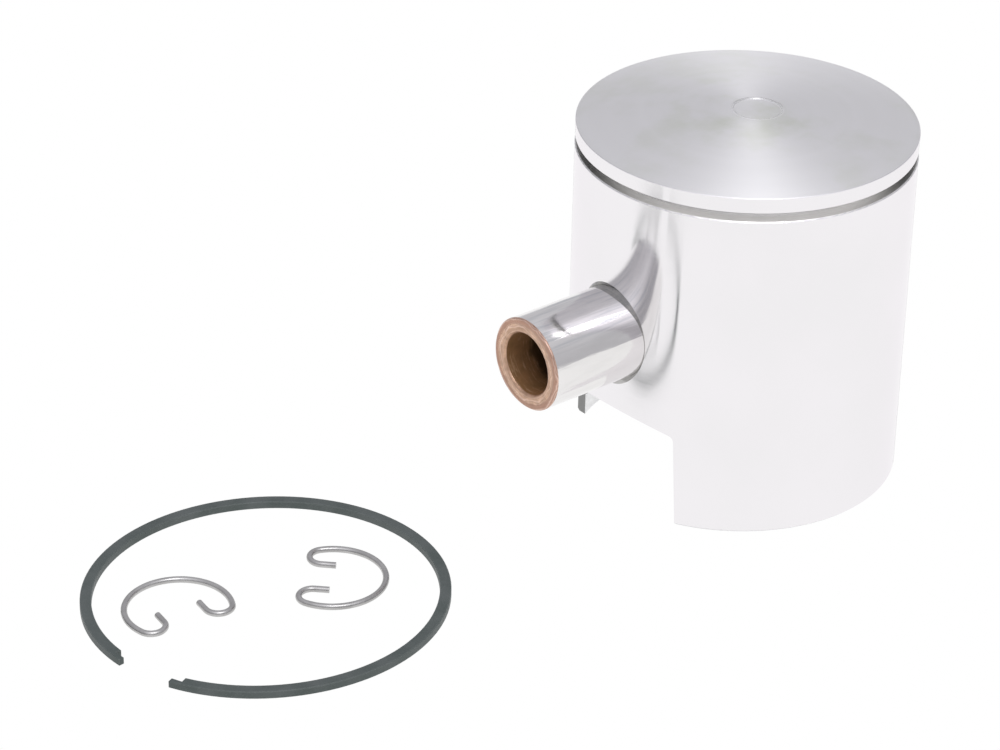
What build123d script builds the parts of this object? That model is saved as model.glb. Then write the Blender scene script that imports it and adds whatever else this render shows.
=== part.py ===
from build123d import *
from math import atan2, cos, degrees, hypot, radians, sin, sqrt, tan
import os

# Two-stroke piston kit, millimetres. The piston stands on its skirt with the gudgeon pin
# half drawn out along -X; the open ring and two wire circlips lie on the same floor.
# Origin: piston axis at the foot of the skirt. +Z runs up the axis, +X along the gudgeon
# pin towards the empty boss, +Y towards the narrow leg of the skirt.

os.makedirs("parts", exist_ok=True)

# piston, outside
skirt_radius = 21.475
land_radius = 21.45
rim_height = 46.86
crown_height = 48.6
rim_break = 0.08
foot_break = 0.3
groove_floor_z = 43.72
groove_height = 1.05
groove_radius = 19.75
groove_break = 0.15
mark_radius = 3.1
mark_centre = (1.05, -0.55)
mark_floor_z = 48.42

# piston, inside
register_radius = 20.2
register_height = 3.0
wall_radius = 19.6
belt_radius = 17.2
belt_z = 38.0
underside_z = 42.8
underside_fillet = 3.0

# pin bosses
pin_height = 23.8
pin_offset = 0.5
pin_bore_radius = 6.02
boss_radius = 9.5
boss_gap = 15.0
web_width = 11.0
mouth_radius = 6.8
clip_groove_radius = 6.45
clip_groove_width = 0.9
clip_groove_x = 18.5

# side openings of the skirt
front_edge_y = -9.7
front_foot_y = -10.35
rear_leg_half = 9.6
opening_height = 12.5
opening_crest = 13.75
crest_half = 8.8
opening_corner = 0.8

# gudgeon pin
pin_radius = 6.0
pin_hollow_radius = 4.0
pin_length = 36.0
pin_edge_break = 0.25
pin_hollow_break = 0.3
pin_rest_x = -16.85

# piston ring in its free state
ring_semi_major = 22.73
ring_semi_minor = 21.66
ring_width = 1.4
ring_thickness = 1.0
ring_gap_angle = 19.2
ring_gap_turn = 23.6
ring_gap_reach = 30.0
ring_edge_break = 0.08
ring_notch_depth = 0.7
ring_notch_length = 1.4
ring_centre = (-69.23, 7.53)
ring_turn = -10.0

# ring peg
peg_radius = 0.5
peg_turn = 45.0
peg_inner_end = 17.9
peg_outer_end = 20.45

# wire circlips
wire_radius = 0.4
clip_radius = 6.55
clip_bend_radius = 1.7
clip_leg_x = 2.8
clip_leg_end_y = 0.0
near_clip_centre = (-79.57, 11.36)
near_clip_turn = -8.3
far_clip_centre = (-60.63, 5.57)
far_clip_turn = 224.7

groove_top_z = groove_floor_z + groove_height
mouth_depth = mouth_radius - pin_bore_radius
peg_z = groove_floor_z + groove_height / 2
gap_half_chord = ring_gap_reach * tan(radians(ring_gap_angle / 2))
clip_bend_x = clip_leg_x + clip_bend_radius
clip_bend_y = -sqrt((clip_radius - clip_bend_radius) ** 2 - clip_bend_x**2)
clip_bend_angle = degrees(atan2(-clip_bend_y, clip_bend_x))

with BuildPart() as piston:
    # bosses with webs up to the crown, parted by the space for the connecting rod
    with BuildSketch(Plane.YZ):
        with Locations((pin_offset, pin_height)):
            Circle(boss_radius)
        with Locations((pin_offset, (pin_height + underside_z) / 2)):
            Rectangle(web_width, underside_z - pin_height)
    extrude(amount=skirt_radius, both=True)
    with BuildSketch(Plane.XY):
        Rectangle(boss_gap, 2 * skirt_radius)
    extrude(amount=crown_height, mode=Mode.SUBTRACT)
    with BuildSketch(Plane.XY):
        Circle((wall_radius + skirt_radius) / 2)
    extrude(amount=crown_height, mode=Mode.INTERSECT)

    # turned shell: hollow inside, skirt, ring groove, top land and domed crown
    with BuildSketch(Plane.XZ):
        with BuildLine():
            Polyline(
                (0, underside_z),
                (belt_radius - underside_fillet, underside_z),
            )
            RadiusArc(
                (belt_radius - underside_fillet, underside_z),
                (belt_radius, underside_z - underside_fillet),
                underside_fillet,
            )
            Polyline(
                (belt_radius, underside_z - underside_fillet),
                (belt_radius, belt_z),
                (wall_radius, belt_z - 4),
                (wall_radius, register_height + 0.6),
                (register_radius, register_height),
                (register_radius, 0),
                (skirt_radius - foot_break, 0),
                (skirt_radius, foot_break),
                (skirt_radius, groove_floor_z - groove_break),
                (skirt_radius - groove_break, groove_floor_z),
                (groove_radius, groove_floor_z),
                (groove_radius, groove_top_z),
                (land_radius - groove_break, groove_top_z),
                (land_radius, groove_top_z + groove_break),
                (land_radius, rim_height - rim_break),
                (land_radius - rim_break, rim_height),
            )
            ThreePointArc(
                (land_radius - rim_break, rim_height),
                ((land_radius - rim_break) / 2, rim_height + 0.75 * (crown_height - rim_height)),
                (0, crown_height),
            )
            Line((0, crown_height), (0, underside_z))
        make_face()
    revolve(axis=Axis.Z)

    # pin bore through both bosses, circlip grooves and 45 degree mouths
    with BuildSketch(Plane.YZ):
        with Locations((pin_offset, pin_height)):
            Circle(pin_bore_radius)
    extrude(amount=2 * skirt_radius, both=True, mode=Mode.SUBTRACT)
    for side in (-1, 1):
        with Locations(Location((side * clip_groove_x, pin_offset, pin_height), (0, 90, 0))):
            Cylinder(clip_groove_radius, clip_groove_width, mode=Mode.SUBTRACT)
        with Locations(
            Location(
                (side * (skirt_radius - mouth_depth / 2), pin_offset, pin_height), (0, side * 90, 0)
            )
        ):
            Cone(pin_bore_radius, mouth_radius, mouth_depth, mode=Mode.SUBTRACT)

    # side openings: crowned above, slanted at the wide front leg, square at the narrow rear leg
    for side in (-1, 1):
        with BuildSketch(Plane.YZ.offset(side * rear_leg_half)) as opening:
            with BuildLine():
                Polyline(
                    (front_edge_y + 2 * crest_half, opening_height),
                    (skirt_radius + 1, opening_height),
                    (skirt_radius + 1, 0),
                    (front_foot_y, 0),
                    (front_edge_y, opening_height),
                )
                ThreePointArc(
                    (front_edge_y, opening_height),
                    (front_edge_y + crest_half, opening_crest),
                    (front_edge_y + 2 * crest_half, opening_height),
                )
            make_face()
            fillet(opening.vertices().sort_by(Axis.X)[1], opening_corner)
        extrude(amount=side * skirt_radius, mode=Mode.SUBTRACT)

    # round centring mark on the crown
    with BuildSketch(Plane.XY.offset(mark_floor_z)):
        with Locations(mark_centre):
            Circle(mark_radius)
    extrude(amount=1, mode=Mode.SUBTRACT)

    # blind hole for the ring peg in the bottom of the groove
    with BuildSketch(Plane.XZ.rotated((0, 0, peg_turn - 90)).offset(-peg_outer_end)):
        with Locations((0, peg_z)):
            Circle(peg_radius)
    extrude(amount=peg_outer_end - peg_inner_end, mode=Mode.SUBTRACT)
piston.part.label = "piston"
export_step(piston.part, "parts/piston.step")

with BuildPart() as ring_peg:
    with BuildSketch(Plane.XZ.rotated((0, 0, peg_turn - 90)).offset(-peg_outer_end)):
        with Locations((0, peg_z)):
            Circle(peg_radius)
    extrude(amount=peg_outer_end - peg_inner_end)
ring_peg.part.label = "ring_peg"
export_step(ring_peg.part, "parts/ring_peg.step")

with BuildPart() as gudgeon_pin:
    with Locations(Location((pin_rest_x, pin_offset, pin_height), (0, 90, 0))):
        Cylinder(pin_radius, pin_length)
        Cylinder(pin_hollow_radius, pin_length, mode=Mode.SUBTRACT)
    rims = gudgeon_pin.edges().filter_by(GeomType.CIRCLE).sort_by(lambda edge: edge.radius)
    chamfer(rims[2:], pin_edge_break)
    rims = gudgeon_pin.edges().filter_by(GeomType.CIRCLE).sort_by(lambda edge: edge.radius)
    chamfer(rims[:2], pin_hollow_break)
gudgeon_pin.part.label = "gudgeon_pin"
export_step(gudgeon_pin.part, "parts/gudgeon_pin.step")

# open oval ring, each end notched on the inside to lap the peg
with BuildPart() as piston_ring:
    with BuildSketch(Plane(Location((*ring_centre, 0), (0, 0, ring_turn)))):
        Ellipse(ring_semi_major, ring_semi_minor)
        Ellipse(ring_semi_major - ring_width, ring_semi_minor - ring_width, mode=Mode.SUBTRACT)
        with BuildSketch(mode=Mode.PRIVATE) as gap_wedge:
            with BuildLine():
                Polyline(
                    (0, 0),
                    (-ring_gap_reach, gap_half_chord),
                    (-ring_gap_reach, -gap_half_chord),
                    close=True,
                )
            make_face()
        with Locations(Location((0, 0, 0), (0, 0, ring_gap_turn))):
            add(gap_wedge.sketch, mode=Mode.SUBTRACT)
        for side in (-1, 1):
            end_turn = ring_gap_turn + side * ring_gap_angle / 2
            end_reach = ring_semi_major * ring_semi_minor / hypot(
                ring_semi_minor * cos(radians(end_turn)), ring_semi_major * sin(radians(end_turn))
            )
            with Locations(Location((0, 0, 0), (0, 0, 180 + end_turn))):
                with Locations((end_reach - ring_width, 0)):
                    Rectangle(2 * ring_notch_depth, 2 * ring_notch_length, mode=Mode.SUBTRACT)
    extrude(amount=ring_thickness)
    flats = piston_ring.faces().filter_by(Axis.Z)
    chamfer(flats.edges(), ring_edge_break)
piston_ring.part.label = "piston_ring"
export_step(piston_ring.part, "parts/piston_ring.step")

# two like circlips of round wire, both ends hooked inwards
clips = (
    ("near_circlip", near_clip_centre, near_clip_turn),
    ("far_circlip", far_clip_centre, far_clip_turn),
)
for clip_label, clip_centre, clip_turn in clips:
    floor_plane = Plane(Location((*clip_centre, wire_radius), (0, 0, clip_turn)))
    with BuildPart() as circlip:
        with BuildLine(floor_plane) as wire:
            leg = Line((clip_leg_x, clip_leg_end_y), (clip_leg_x, clip_bend_y))
            bend = JernArc(leg @ 1, leg % 1, clip_bend_radius, 180 - clip_bend_angle)
            bow = JernArc(bend @ 1, bend % 1, clip_radius, 180 + 2 * clip_bend_angle)
            far_bend = JernArc(bow @ 1, bow % 1, clip_bend_radius, 180 - clip_bend_angle)
            Line(far_bend @ 1, (-clip_leg_x, clip_leg_end_y))
        with BuildSketch(Plane(origin=wire.line @ 0, z_dir=wire.line % 0)):
            Circle(wire_radius)
        sweep(path=wire.line)
    circlip.part.label = clip_label
    export_step(circlip.part, f"parts/{clip_label}.step")
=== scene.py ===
from math import cos, hypot, pi, radians, sin

import bpy
from mathutils import Matrix, Vector


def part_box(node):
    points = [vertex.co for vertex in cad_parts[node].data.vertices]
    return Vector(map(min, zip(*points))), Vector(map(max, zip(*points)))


# Looks of a two-stroke piston kit, metres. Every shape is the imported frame's own; this script
# gives each surface its finish, by where the surface lies, and sets floor, light and camera.

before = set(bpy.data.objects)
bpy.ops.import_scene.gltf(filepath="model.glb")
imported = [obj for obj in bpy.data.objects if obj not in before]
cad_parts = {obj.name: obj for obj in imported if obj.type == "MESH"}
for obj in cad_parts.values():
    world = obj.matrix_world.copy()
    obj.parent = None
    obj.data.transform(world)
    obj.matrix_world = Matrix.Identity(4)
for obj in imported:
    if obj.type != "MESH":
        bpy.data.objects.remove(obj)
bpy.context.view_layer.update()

millimetre = 0.001
micron = 0.000001

# where the zones of the piston and the pin lie, measured from the frame's own boxes
piston_low, piston_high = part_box("piston")
pin_low, pin_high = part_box("gudgeon_pin")
skirt_radius = piston_high.x
crown_top = piston_high.z
rim_height = crown_top - 1.75 * millimetre
groove_top = crown_top - 3.7 * millimetre
groove_foot = crown_top - 4.95 * millimetre
groove_depth = 1.9 * millimetre
outer_reach = skirt_radius - 0.40 * millimetre
pin_axis = (pin_low + pin_high) / 2
pin_radius = (pin_high.z - pin_low.z) / 2
bore_reach = pin_radius + 1.1 * millimetre
boss_start = 7 * millimetre
opening_reach = piston_low.z + 14 * millimetre
leg_half = 9.2 * millimetre
leg_side = 9.6 * millimetre
leg_side_slack = 0.2 * millimetre
pin_skin = 0.95 * pin_radius
smallest_reach = 0.001 * micron

# least share of a face's normal that looks in a zone's direction, from -1 to 1
crown_facing = -0.5
skirt_facing = 0.985
edge_facing = 0.3
leg_side_facing = 0.9
opening_facing = -0.9
pin_end_facing = 0.3

# centring mark on the crown and the burr round it
mark_centre = Vector((1.05 * millimetre, -0.55 * millimetre, 0.0))
mark_radius = 3.1 * millimetre
mark_edge = 0.15 * millimetre
burr_width = 0.3 * millimetre

# small leans of the normals, as shares of a unit normal: a barrel skirt and a domed crown
skirt_lean = -0.044
crown_lean = 0.21

# camera, as seen in the photograph: azimuth 0 looks along +Y and 90 along -X
camera_azimuth = radians(320.05)
camera_elevation = radians(29.48)
camera_roll = radians(1.28)
camera_aim = Vector((-0.02235, 0.02023, 0.00917))
camera_distance = 0.48
camera_lens = 133.2
camera_near = 0.01
camera_far = 50.0

# light: a grey studio with one softbox above the camera's shoulder
floor_size = 6.0
floor_drop = 0.02 * millimetre
floor_glow = 1.0
sky_colour = (0.99, 0.985, 1.03, 1)
sky_dark = 0.48
sky_light = 0.62
sky_light_azimuth = radians(120)
sky_top = 0.72
sky_rise_start = 0.3
sky_rise_full = 0.9
key_azimuth = radians(331)
key_elevation = radians(59)
key_size = 0.29
key_radiance = 3.2
key_distance = 0.7
halo_strength = 0.55
halo_start = 0.70
halo_full = 0.98


class Graph:
    """A node tree whose nodes and links are made in one call each."""

    def __init__(self, tree):
        tree.nodes.clear()
        self.tree = tree

    def add(self, kind, inputs=None, **settings):
        """Adds a node, then sets or links its inputs, which are named or numbered."""
        node = self.tree.nodes.new("ShaderNode" + kind)
        for name, value in settings.items():
            setattr(node, name, value)
        for key, value in (inputs or {}).items():
            self.put(node.inputs[key], value)
        return node

    def put(self, socket, value):
        """Links a socket to another, or gives it a plain value."""
        if isinstance(value, bpy.types.NodeSocket):
            self.tree.links.new(value, socket)
        else:
            socket.default_value = value

    def math(self, operation, *values):
        node = self.add("Math", operation=operation)
        for socket, value in zip(node.inputs, values):
            self.put(socket, value)
        return node.outputs[0]

    def times(self, first, second):
        return self.math("MULTIPLY", first, second)

    def plus(self, first, second):
        return self.math("ADD", first, second)

    def vector_math(self, operation, first, second=None):
        """The vector that a vector operation gives."""
        inputs = {0: first} if second is None else {0: first, 1: second}
        return self.add("VectorMath", inputs, operation=operation).outputs[0]

    def measure(self, operation, first, second):
        """The number that a vector operation gives, such as a distance or a dot product."""
        inputs = {0: first, 1: second}
        return self.add("VectorMath", inputs, operation=operation).outputs["Value"]

    def scale(self, value, low, high, to_low, to_high):
        """Maps value from low..high onto to_low..to_high, smoothly and clamped."""
        inputs = {0: value, 1: low, 2: high, 3: to_low, 4: to_high}
        node = self.add("MapRange", inputs, interpolation_type="SMOOTHSTEP")
        return node.outputs[0]

    def mix(self, share, first, second):
        """Mixes two colours."""
        node = self.add("Mix", {0: share, 6: first, 7: second}, data_type="RGBA")
        return node.outputs[2]

    def vector(self, x, y, z):
        return self.add("CombineXYZ", {0: x, 1: y, 2: z}).outputs[0]

    def noise(self, place, scale, detail=3.0, roughness=0.5):
        """Noise with about as many waves to the metre as scale says."""
        inputs = {"Vector": place, "Scale": scale, "Detail": detail, "Roughness": roughness}
        return self.add("TexNoise", inputs).outputs["Fac"]

    def bump(self, height, distance, strength=1.0, normal=None):
        inputs = {"Height": height, "Distance": distance, "Strength": strength}
        if normal is not None:
            inputs["Normal"] = normal
        return self.add("Bump", inputs).outputs[0]

    def bevel(self, radius, samples):
        """Normal as if every sharp edge were rounded."""
        return self.add("Bevel", {"Radius": radius}, samples=samples).outputs[0]

    def here(self):
        """Position in the frame."""
        return self.add("TexCoord").outputs["Object"]

    def place(self):
        """Position in the frame, as its three parts."""
        parts = self.add("SeparateXYZ", {0: self.here()}).outputs
        return parts[0], parts[1], parts[2]


def finish(name):
    """A new material and its empty graph."""
    made = bpy.data.materials.new(name)
    made.use_nodes = True
    return made, Graph(made.node_tree)


def metal(graph, colour, roughness, normal=None, **more):
    """Ends a graph in a surface that is fully metallic unless more says otherwise."""
    inputs = {"Base Color": colour, "Metallic": 1.0, "Roughness": roughness}
    if normal is not None:
        inputs["Normal"] = normal
    inputs.update({key.replace("_", " "): value for key, value in more.items()})
    surface = graph.add("BsdfPrincipled", inputs)
    graph.add("OutputMaterial", {0: surface.outputs[0]})


def towards(azimuth, elevation):
    """Unit vector from the object towards a viewer at this azimuth and elevation."""
    flat = cos(elevation)
    return Vector((sin(azimuth) * flat, -cos(azimuth) * flat, sin(elevation)))


def reach_from_axis(graph, x, y):
    """Distance from the Z axis."""
    return graph.math("SQRT", graph.plus(graph.times(x, x), graph.times(y, y)))


def away_from_axis(graph, x, y):
    """Direction straight away from the Z axis."""
    return graph.vector_math("NORMALIZE", graph.vector(x, y, 0.0))


def about_pin(graph, y, z):
    """Place across the pin's axis: sideways and up."""
    return graph.math("SUBTRACT", y, pin_axis.y), graph.math("SUBTRACT", z, pin_axis.z)


def crown_normal(graph, normal, away, reach):
    """Normal of the crown, leaning outwards more and more towards the rim."""
    share = graph.times(reach, crown_lean / skirt_radius)
    inputs = {0: away, "Scale": share}
    outwards = graph.add("VectorMath", inputs, operation="SCALE").outputs[0]
    return graph.vector_math("NORMALIZE", graph.vector_math("ADD", normal, outwards))


def mark_burr(graph, x, y):
    """Share of the fine burr round the centring mark, 1 on its edge and 0 away from it."""
    from_mark = graph.measure("DISTANCE", graph.vector(x, y, 0.0), mark_centre)
    off_edge = graph.math("ABSOLUTE", graph.math("SUBTRACT", from_mark, mark_radius))
    return graph.scale(off_edge, 0.0, burr_width, 1.0, 0.0)


def turned_crown():
    """Face-turned aluminium: rings about the axis that stretch every highlight into a fan."""
    bare = (0.865, 0.86, 0.865, 1)
    stain = (0.76, 0.775, 0.71, 1)
    bright = (0.92, 0.915, 0.925, 1)
    painted_glint_white = (1.0, 1.0, 1.0, 1)
    made, graph = finish("turned_crown")
    x, y, _ = graph.place()
    reach = reach_from_axis(graph, x, y)
    away = away_from_axis(graph, x, y)
    ring_place = graph.vector(reach, 0.0, 0.0)
    rings = graph.noise(ring_place, 3200.0, 4.0, 0.65)
    coarse = graph.noise(ring_place, 420.0, 2.0)
    patches = graph.noise(graph.here(), 95.0, 4.0, 0.55)
    burr = mark_burr(graph, x, y)
    inner = graph.scale(reach, 3 * millimetre, 15 * millimetre, 1.0, 0.35)
    stained = graph.times(graph.scale(patches, 0.46, 0.66, 0.0, 1.0), inner)
    colour = graph.mix(stained, bare, stain)
    colour = graph.mix(graph.scale(coarse, 0.35, 0.75, 0.0, 0.25), colour, bright)
    # painted highlight: the colour on the burr is lifted towards white so that its glints shine
    # brighter; its bump and smoother roughness are the real burr
    colour = graph.mix(graph.scale(burr, 0.0, 1.0, 0.0, 0.45), colour, painted_glint_white)
    smoother = graph.scale(burr, 0.0, 0.5, 1.0, 0.5)
    roughness = graph.times(graph.scale(patches, 0.3, 0.7, 0.47, 0.51), smoother)
    domed = crown_normal(graph, graph.bevel(mark_edge, 4), away, reach)
    normal = graph.bump(burr, 80 * micron, 1.0, graph.bump(rings, 12 * micron, 0.5, domed))
    drawn = graph.scale(reach, 0.0, 5 * millimetre, 0.0, 0.68)
    metal(graph, colour, roughness, normal, Anisotropic=drawn, Tangent=away)
    return made


def polished_skirt():
    """Mirror-polished aluminium on the true cylinder, with faint polishing lines round it.

    The normal leans down a little, which lifts what the skirt mirrors, as its barrel shape does.
    """
    clear = (0.885, 0.865, 0.885, 1)
    hazy = (0.865, 0.85, 0.865, 1)
    made, graph = finish("polished_skirt")
    x, y, z = graph.place()
    lean = graph.vector_math("ADD", away_from_axis(graph, x, y), (0, 0, skirt_lean))
    barrel = graph.vector_math("NORMALIZE", lean)
    line_place = graph.vector(graph.times(x, 0.02), graph.times(y, 0.02), z)
    lines = graph.noise(line_place, 5200.0, 3.0, 0.6)
    haze = graph.noise(graph.here(), 60.0, 3.0)
    colour = graph.mix(graph.scale(haze, 0.3, 0.7, 0.0, 1.0), clear, hazy)
    roughness = graph.scale(lines, 0.35, 0.75, 0.10, 0.13)
    normal = graph.bump(lines, 0.8 * micron, 0.35, barrel)
    tint = (0.97, 0.955, 0.97, 1)
    upright = graph.vector(0.0, 0.0, 1.0)
    drawn = {"Specular_Tint": tint, "Anisotropic": 0.85, "Tangent": upright}
    metal(graph, colour, roughness, normal, **drawn)
    return made


def polished_edge():
    """The small breaks at the rim, the groove lips and the foot."""
    made, graph = finish("polished_edge")
    nicks = graph.noise(graph.here(), 2600.0, 3.0)
    colour = graph.mix(nicks, (0.78, 0.77, 0.79, 1), (0.70, 0.69, 0.71, 1))
    roughness = graph.scale(nicks, 0.3, 0.7, 0.46, 0.56)
    metal(graph, colour, roughness, Coat_Weight=0.6, Coat_Roughness=0.1)
    return made


def turned_groove():
    """Ring groove: left as turned, greyer than the skirt, with painted shade away from the camera.
    """
    grey = (0.87, 0.86, 0.85, 1)
    bright = (0.98, 0.97, 0.96, 1)
    soot_colour = (0.78, 0.78, 0.77, 1)
    shade = (0.25, 0.25, 0.245, 1)
    made, graph = finish("turned_groove")
    x, y, z = graph.place()
    reach = reach_from_axis(graph, x, y)
    lines = graph.noise(graph.vector(0.0, reach, z), 9000.0, 2.0, 0.7)
    soot = graph.noise(graph.here(), 240.0, 3.0)
    colour = graph.mix(graph.scale(lines, 0.3, 0.7, 0.0, 1.0), grey, bright)
    colour = graph.mix(graph.scale(soot, 0.45, 0.75, 0.0, 0.4), colour, soot_colour)
    # painted shade: the groove is darkened where it turns away from the camera, as its walls shade
    # each other there
    away = away_from_axis(graph, x, y)
    front = graph.measure("DOT_PRODUCT", away, towards(camera_azimuth, 0))
    colour = graph.mix(graph.scale(front, 0.2, 0.85, 0.62, 0.0), colour, shade)
    roughness = 0.36
    normal = graph.bump(lines, 10 * micron, 0.6)
    metal(graph, colour, roughness, normal, Coat_Weight=0.6, Coat_Roughness=0.1)
    return made


def cast_inside():
    """Die-cast inside: dull and finely pitted."""
    made, graph = finish("cast_inside")
    here = graph.here()
    grain = graph.noise(here, 1700.0, 5.0, 0.65)
    flow = graph.noise(here, 120.0, 4.0)
    pits = graph.add("TexVoronoi", {"Vector": here, "Scale": 900.0}).outputs["Distance"]
    flowed = graph.scale(flow, 0.3, 0.7, 0.0, 1.0)
    colour = graph.mix(flowed, (0.78, 0.78, 0.785, 1), (0.90, 0.90, 0.905, 1))
    roughness = graph.scale(grain, 0.3, 0.7, 0.42, 0.6)
    height = graph.plus(grain, graph.scale(pits, 0.0, 0.35, 0.0, 0.8))
    metal(graph, colour, roughness, graph.bump(height, 40 * micron, 0.7))
    return made


def milled_face():
    """Faces that a cutter left around the side openings: fine straight feed marks."""
    made, graph = finish("milled_face")
    x, y, z = graph.place()
    feed = graph.noise(graph.vector(graph.times(x, 0.05), y, z), 5200.0, 2.0, 0.6)
    colour = graph.mix(feed, (0.74, 0.74, 0.75, 1), (0.90, 0.90, 0.91, 1))
    roughness = graph.scale(feed, 0.3, 0.7, 0.2, 0.34)
    metal(graph, colour, roughness, graph.bump(feed, 10 * micron, 0.5))
    return made


def painted_shade_leg_side():
    """Sides of the narrow leg: a dull as-cut face whose dark colour is painted shade."""
    made, graph = finish("painted_shade_leg_side")
    _, y, z = graph.place()
    feed = graph.noise(graph.vector(0.0, graph.times(y, 0.2), z), 4200.0, 3.0, 0.6)
    colour = graph.mix(feed, (0.20, 0.20, 0.20, 1), (0.32, 0.32, 0.315, 1))
    roughness = graph.scale(feed, 0.3, 0.7, 0.35, 0.5)
    metal(graph, colour, roughness, graph.bump(feed, 10 * micron, 0.5))
    return made


def reamed_bore():
    """Pin bore and its mouth: bright, with fine rings about the pin's axis."""
    made, graph = finish("reamed_bore")
    x, _, _ = graph.place()
    rings = graph.noise(graph.vector(x, 0.0, 0.0), 6500.0, 3.0, 0.6)
    colour = graph.mix(rings, (0.52, 0.52, 0.51, 1), (0.70, 0.70, 0.70, 1))
    roughness = graph.scale(rings, 0.3, 0.7, 0.12, 0.24)
    metal(graph, colour, roughness, graph.bump(rings, 8 * micron, 0.4))
    return made


def ground_pin():
    """Case-hardened steel, centreless ground and polished, with fine rub marks and a painted dark
    reflection atop.
    """
    clean = (0.83, 0.815, 0.81, 1)
    smeared = (0.78, 0.765, 0.76, 1)
    painted_dark_reflection = (0.56, 0.58, 0.61, 1)
    made, graph = finish("ground_pin")
    x, y, z = graph.place()
    across, up = about_pin(graph, y, z)
    parts = graph.add("SeparateXYZ", {0: away_from_axis(graph, across, up)}).outputs
    away = graph.vector(0.0, parts[0], parts[1])
    grinding_place = graph.vector(x, graph.times(y, 0.02), graph.times(z, 0.02))
    grinding = graph.noise(grinding_place, 4200.0, 3.0, 0.65)
    smears = graph.noise(graph.vector(graph.times(x, 0.25), y, z), 500.0, 3.0, 0.6)
    rub_marks_and_reflection = graph.noise(graph.vector(graph.times(x, 0.05), y, z), 1900.0, 3.0, 0.6)
    colour = graph.mix(graph.scale(smears, 0.35, 0.7, 0.0, 1.0), clean, smeared)
    # painted reflection: the top of the pin is darkened in patches, for the shaded skirt that it
    # mirrors; the same noise also gives the real rub marks' bumps
    top_start = pin_axis.z + 0.5 * pin_radius
    top_full = pin_axis.z + 0.75 * pin_radius
    above = graph.scale(z, top_start, top_full, 0.0, 0.6)
    painted_dark_share = graph.times(graph.scale(rub_marks_and_reflection, 0.36, 0.56, 1.0, 0.0), above)
    colour = graph.mix(painted_dark_share, colour, painted_dark_reflection)
    ground = graph.scale(grinding, 0.3, 0.7, 0.05, 0.09)
    roughness = graph.plus(ground, graph.scale(smears, 0.4, 0.8, 0.0, 0.07))
    normal = graph.bump(grinding, 1.2 * micron, 0.5, away)
    metal(graph, colour, roughness, graph.bump(rub_marks_and_reflection, 50 * micron, 0.5, normal))
    return made


def copper_end():
    """End face of the pin: copper plate over turned steel, wrinkled and rolled over at its edge."""
    orange = (0.66, 0.425, 0.295, 1)
    brown = (0.46, 0.295, 0.20, 1)
    pale = (0.78, 0.56, 0.46, 1)
    rim = (0.47, 0.285, 0.215, 1)
    painted_fold_highlight = (0.88, 0.65, 0.55, 1)
    painted_crease_shade = (0.34, 0.22, 0.17, 1)
    made, graph = finish("copper_end")
    _, y, z = graph.place()
    here = graph.here()
    reach = reach_from_axis(graph, *about_pin(graph, y, z))
    rings = graph.noise(graph.vector(reach, 0.0, 0.0), 5200.0, 3.0, 0.7)
    patches = graph.noise(here, 900.0, 4.0, 0.6)
    warp = graph.times(graph.noise(here, 420.0, 2.0), 1.2 * millimetre)
    folds = graph.noise(graph.vector(graph.plus(reach, warp), 0.0, 0.0), 2100.0, 2.0)
    wavy = graph.plus(reach, graph.times(patches, 0.3 * millimetre))
    rolled = graph.scale(wavy, 0.86 * pin_radius, 0.93 * pin_radius, 0.0, 1.0)
    folded = graph.scale(reach, 0.72 * pin_radius, 0.88 * pin_radius, 0.2, 1.0)
    raised = graph.times(graph.scale(folds, 0.50, 0.64, 0.0, 0.85), folded)
    sunken = graph.times(graph.scale(folds, 0.36, 0.46, 0.7, 0.0), folded)
    colour = graph.mix(graph.scale(patches, 0.35, 0.7, 0.0, 1.0), orange, brown)
    colour = graph.mix(graph.scale(rings, 0.45, 0.70, 0.0, 0.75), colour, pale)
    colour = graph.mix(rolled, colour, rim)
    # painted highlight on the raised folds and painted shade in the sunken creases, laid over the
    # relief that the bumps below give
    colour = graph.mix(raised, colour, painted_fold_highlight)
    colour = graph.mix(sunken, colour, painted_crease_shade)
    rounded = graph.bevel(0.45 * millimetre, 6)
    grain = graph.bump(graph.plus(rings, patches), 50 * micron, 0.9, rounded)
    creased = graph.bump(graph.math("SUBTRACT", raised, sunken), 80 * micron, 0.9, grain)
    normal = graph.bump(rolled, 120 * micron, 1.0, creased)
    metal(graph, colour, graph.scale(patches, 0.3, 0.7, 0.26, 0.4), normal)
    return made


def copper_bore():
    """Inside of the pin: brown oxidised copper with drawing scratches, and painted shade further
    in.
    """
    brown = (0.42, 0.225, 0.105, 1)
    dark_brown = (0.30, 0.165, 0.07, 1)
    scratch = (0.66, 0.44, 0.28, 1)
    painted_bore_shade = (0.05, 0.028, 0.012, 1)
    made, graph = finish("copper_bore")
    x, y, z = graph.place()
    scratch_place = graph.vector(x, graph.times(y, 0.15), graph.times(z, 0.15))
    scratches = graph.noise(scratch_place, 2600.0, 4.0, 0.7)
    stains = graph.noise(graph.here(), 420.0, 4.0, 0.6)
    colour = graph.mix(graph.scale(stains, 0.35, 0.7, 0.0, 1.0), brown, dark_brown)
    colour = graph.mix(graph.scale(scratches, 0.52, 0.72, 0.0, 0.8), colour, scratch)
    # painted shade: the bore darkens a few millimetres in from the pin's end at low x, along a
    # ragged edge
    ragged = graph.plus(x, graph.times(stains, 2 * millimetre))
    dark_start = pin_low.x + 4.6 * millimetre
    dark_full = pin_low.x + 6 * millimetre
    colour = graph.mix(graph.scale(ragged, dark_start, dark_full, 0.0, 0.85), colour, painted_bore_shade)
    roughness = graph.scale(stains, 0.3, 0.7, 0.3, 0.45)
    metal(graph, colour, roughness, graph.bump(scratches, 30 * micron, 0.7), Metallic=0.35)
    return made


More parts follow.
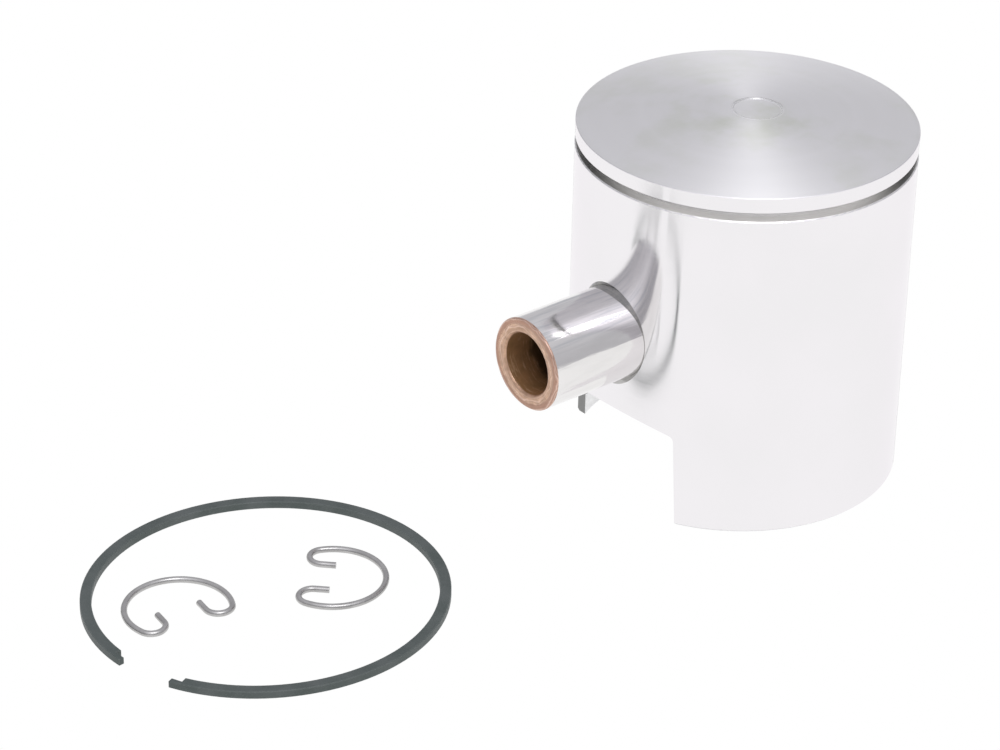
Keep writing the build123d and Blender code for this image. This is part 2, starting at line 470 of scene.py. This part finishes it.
def phosphated_ring():
    """Cast iron ring with a dark grey-green phosphate coat, rubbed lighter at its edges."""
    dark = (0.055, 0.072, 0.068, 1)
    cloudy = (0.085, 0.10, 0.098, 1)
    crystal = (0.17, 0.19, 0.185, 1)
    worn = (0.30, 0.33, 0.32, 1)
    made, graph = finish("phosphated_ring")
    here = graph.here()
    crystals = graph.noise(here, 6000.0, 3.0, 0.7)
    clouds = graph.noise(here, 260.0, 4.0, 0.55)
    colour = graph.mix(graph.scale(clouds, 0.3, 0.7, 0.0, 1.0), dark, cloudy)
    colour = graph.mix(graph.scale(crystals, 0.5, 0.75, 0.0, 0.5), colour, crystal)
    rounded = graph.bevel(0.12 * millimetre, 4)
    flat = graph.add("NewGeometry").outputs["Normal"]
    likeness = graph.measure("DOT_PRODUCT", rounded, flat)
    painted_dark_reflection = graph.scale(likeness, 0.80, 0.995, 0.75, 0.0)
    colour = graph.mix(painted_dark_reflection, colour, worn)
    roughness = graph.scale(crystals, 0.3, 0.7, 0.42, 0.6)
    normal = graph.bump(crystals, 10 * micron, 0.6, rounded)
    metal(graph, colour, roughness, normal, Metallic=graph.times(painted_dark_reflection, 0.6))
    return made


def drawn_wire():
    """Spring wire: grey, with drawing marks and a dull oxide bloom."""
    grey = (0.42, 0.415, 0.41, 1)
    bloomed = (0.51, 0.505, 0.50, 1)
    marked = (0.60, 0.59, 0.585, 1)
    made, graph = finish("drawn_wire")
    here = graph.here()
    marks = graph.noise(here, 4200.0, 4.0, 0.65)
    bloom = graph.noise(here, 520.0, 3.0)
    colour = graph.mix(graph.scale(bloom, 0.3, 0.7, 0.0, 1.0), grey, bloomed)
    colour = graph.mix(graph.scale(marks, 0.55, 0.8, 0.0, 0.4), colour, marked)
    roughness = graph.scale(marks, 0.3, 0.7, 0.26, 0.34)
    metal(graph, colour, roughness, graph.bump(marks, 4 * micron, 0.3))
    return made


def peg_steel():
    """Ring peg: plain steel pin with a sheared face."""
    made, graph = finish("peg_steel")
    grain = graph.noise(graph.here(), 5200.0, 3.0, 0.6)
    colour = graph.mix(grain, (0.42, 0.42, 0.43, 1), (0.58, 0.58, 0.59, 1))
    roughness = graph.scale(grain, 0.3, 0.7, 0.25, 0.4)
    metal(graph, colour, roughness, graph.bump(grain, 8 * micron, 0.5))
    return made


def paint(node_name, zones):
    """Gives each face of a CAD node the first finish whose test holds for its centre and normal."""
    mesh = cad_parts[node_name].data
    mesh.materials.clear()
    for made, _ in zones:
        mesh.materials.append(made)
    for face in mesh.polygons:
        tests = (index for index, (_, test) in enumerate(zones) if test(face.center, face.normal))
        face.material_index = next(tests)


# Zone tests: paint calls each with a face's centre and normal, so each takes both.


def anywhere(centre, normal):
    return True


def outward(centre, normal):
    """How far a face looks straight away from the Z axis, from -1 to 1."""
    reach = max(hypot(centre.x, centre.y), smallest_reach)
    return (centre.x * normal.x + centre.y * normal.y) / reach


def off_pin_axis(centre):
    return hypot(centre.y - pin_axis.y, centre.z - pin_axis.z)


def on_crown(centre, normal):
    return centre.z > rim_height and normal.z > crown_facing


def in_groove(centre, normal):
    painted_bore_shade = hypot(centre.x, centre.y) > skirt_radius - groove_depth
    return painted_bore_shade and groove_foot < centre.z < groove_top


def on_skirt(centre, normal):
    return hypot(centre.x, centre.y) > outer_reach and outward(centre, normal) > skirt_facing


def on_edge(centre, normal):
    return hypot(centre.x, centre.y) > outer_reach and outward(centre, normal) > edge_facing


def in_bore(centre, normal):
    return off_pin_axis(centre) < bore_reach and abs(centre.x) > boss_start


def on_leg_side(centre, normal):
    on_plane = abs(abs(centre.x) - leg_side) < leg_side_slack
    on_rear_leg = centre.y > 0 and centre.z < opening_reach
    return on_plane and on_rear_leg and abs(normal.x) > leg_side_facing


def on_opening(centre, normal):
    beside_legs = abs(centre.x) > leg_half and centre.z < opening_reach
    return beside_legs and outward(centre, normal) > opening_facing


def on_pin_side(centre, normal):
    return off_pin_axis(centre) > pin_skin and abs(normal.x) < pin_end_facing


def on_pin_end(centre, normal):
    return abs(normal.x) > pin_end_facing


def make_camera():
    camera = bpy.data.objects.new("camera", bpy.data.cameras.new("camera"))
    camera.data.lens = camera_lens
    camera.data.clip_start = camera_near
    camera.data.clip_end = camera_far
    back = towards(camera_azimuth, camera_elevation)
    turn = back.to_track_quat("Z", "Y").to_matrix() @ Matrix.Rotation(camera_roll, 3, "Z")
    camera.matrix_world = Matrix.Translation(camera_aim + back * camera_distance) @ turn.to_4x4()
    bpy.context.scene.collection.objects.link(camera)
    bpy.context.scene.camera = camera


def make_floor():
    """A white sheet that glows evenly, so that nothing on it throws a visible shadow."""
    half = floor_size / 2
    mesh = bpy.data.meshes.new("floor")
    corners = [(-half, -half, 0), (half, -half, 0), (half, half, 0), (-half, half, 0)]
    mesh.from_pydata(corners, [], [(0, 1, 2, 3)])
    floor = bpy.data.objects.new("floor", mesh)
    floor.location.z = piston_low.z - floor_drop
    made, graph = finish("white_sheet")
    glow = graph.add("Emission", {"Color": (1, 1, 1, 1), "Strength": floor_glow})
    graph.add("OutputMaterial", {0: glow.outputs[0]})
    mesh.materials.append(made)
    bpy.context.scene.collection.objects.link(floor)


def make_sky():
    """Grey studio, lighter behind the object and overhead, with a soft glow round the softbox.

    The camera itself sees plain white.
    """
    world = bpy.data.worlds.new("studio")
    world.use_nodes = True
    bpy.context.scene.world = world
    graph = Graph(world.node_tree)
    direction = graph.add("TexCoord").outputs["Generated"]

    def likeness(azimuth, elevation):
        return graph.measure("DOT_PRODUCT", direction, towards(azimuth, elevation))

    height = graph.add("SeparateXYZ", {0: direction}).outputs[2]
    low = graph.scale(likeness(sky_light_azimuth, 0), -1.0, 1.0, sky_dark, sky_light)
    rise = graph.scale(height, sky_rise_start, sky_rise_full, 0.0, 1.0)
    level = graph.add("Mix", {0: rise, 2: low, 3: sky_top}).outputs[0]
    near_lamp = likeness(key_azimuth, key_elevation)
    halo = graph.scale(near_lamp, halo_start, halo_full, 0.0, halo_strength)
    seen = graph.add("LightPath").outputs["Is Camera Ray"]
    level = graph.math("MAXIMUM", graph.plus(level, halo), seen)
    sky = graph.add("Background", {"Color": sky_colour, "Strength": level})
    graph.add("OutputWorld", {0: sky.outputs[0]})


def make_softbox():
    """A square lamp that faces the piston."""
    lamp = bpy.data.lights.new("softbox", "AREA")
    lamp.shape = "SQUARE"
    lamp.size = key_size
    lamp.energy = key_radiance * pi * key_size**2
    holder = bpy.data.objects.new("softbox", lamp)
    back = towards(key_azimuth, key_elevation)
    turn = back.to_track_quat("Z", "Y").to_matrix().to_4x4()
    holder.matrix_world = Matrix.Translation(back * key_distance) @ turn
    bpy.context.scene.collection.objects.link(holder)


wire = drawn_wire()
piston_zones = [
    (turned_crown(), on_crown),
    (turned_groove(), in_groove),
    (polished_skirt(), on_skirt),
    (reamed_bore(), in_bore),
    (polished_edge(), on_edge),
    (painted_shade_leg_side(), on_leg_side),
    (milled_face(), on_opening),
    (cast_inside(), anywhere),
]
pin_zones = [(ground_pin(), on_pin_side), (copper_end(), on_pin_end), (copper_bore(), anywhere)]
paint("piston", piston_zones)
paint("gudgeon_pin", pin_zones)
paint("piston_ring", [(phosphated_ring(), anywhere)])
paint("near_circlip", [(wire, anywhere)])
paint("far_circlip", [(wire, anywhere)])
paint("ring_peg", [(peg_steel(), anywhere)])

make_floor()
make_sky()
make_softbox()
make_camera()
bpy.context.scene.view_settings.view_transform = "Standard"
